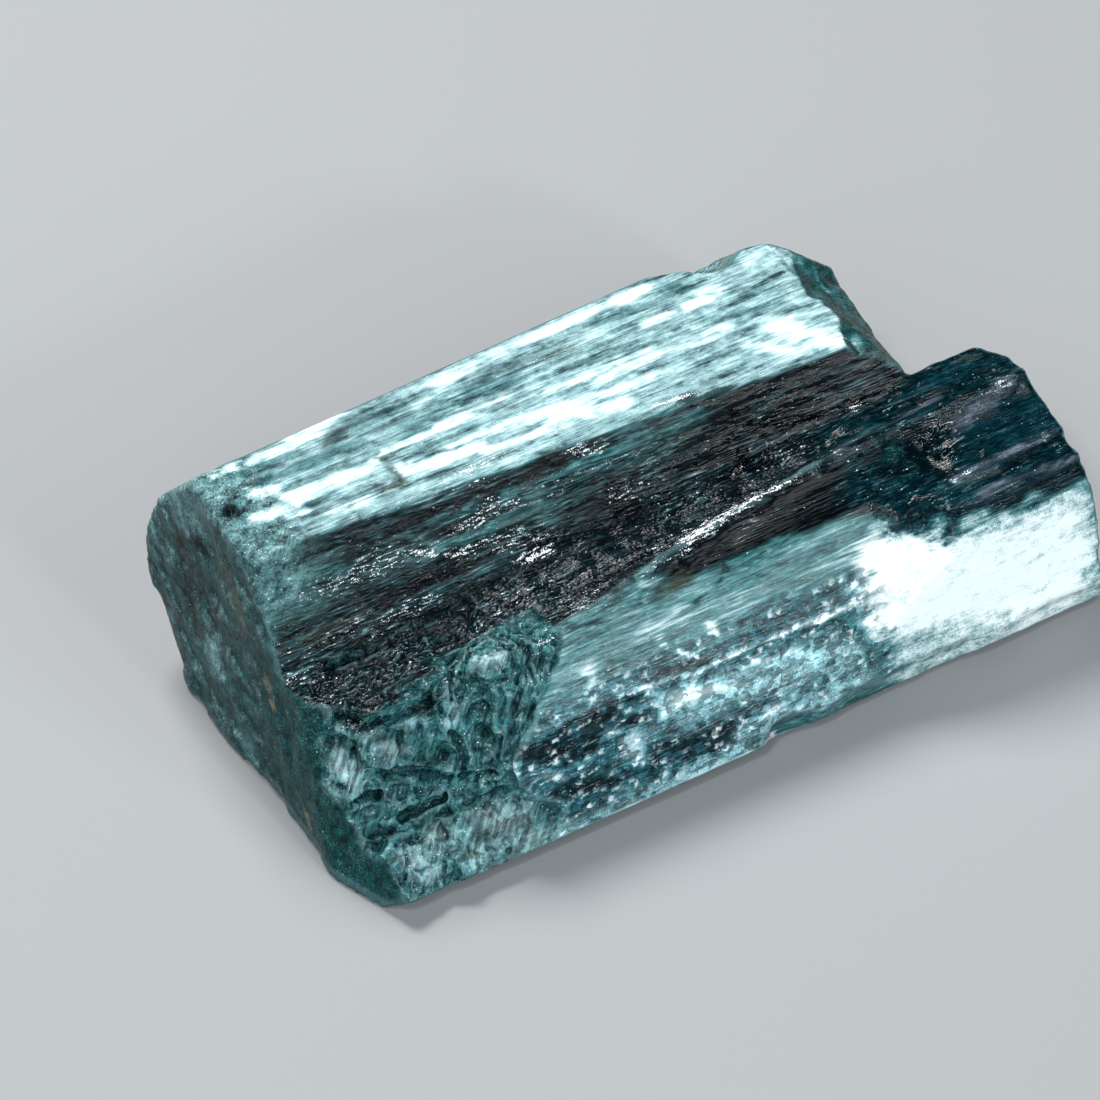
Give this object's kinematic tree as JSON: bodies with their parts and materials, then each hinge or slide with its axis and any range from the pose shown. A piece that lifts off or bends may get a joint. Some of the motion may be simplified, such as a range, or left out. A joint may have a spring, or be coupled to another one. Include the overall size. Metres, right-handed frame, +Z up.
{
  "type": "beryl crystal",
  "caption": "Vanadium beryl crystal: six-sided prisms grown side by side as one piece, broken at both ends, with a fractured shoulder, lying on a flat prism face.",
  "frame": {"origin": "bottom centre of the crystal's bounding box, on the surface it lies on", "axes": "+Z up out of the face it lies on, +X along the crystals' long c axis, away from the fractured shoulder"},
  "size_m": [0.0304, 0.0168, 0.0096],
  "materials": {
    "beryl": "natural prism faces with growth lines, frosted breaks"
  },
  "bodies": {
    "root": {"beryl_crystal": "beryl"}
  },
  "joints": []
}
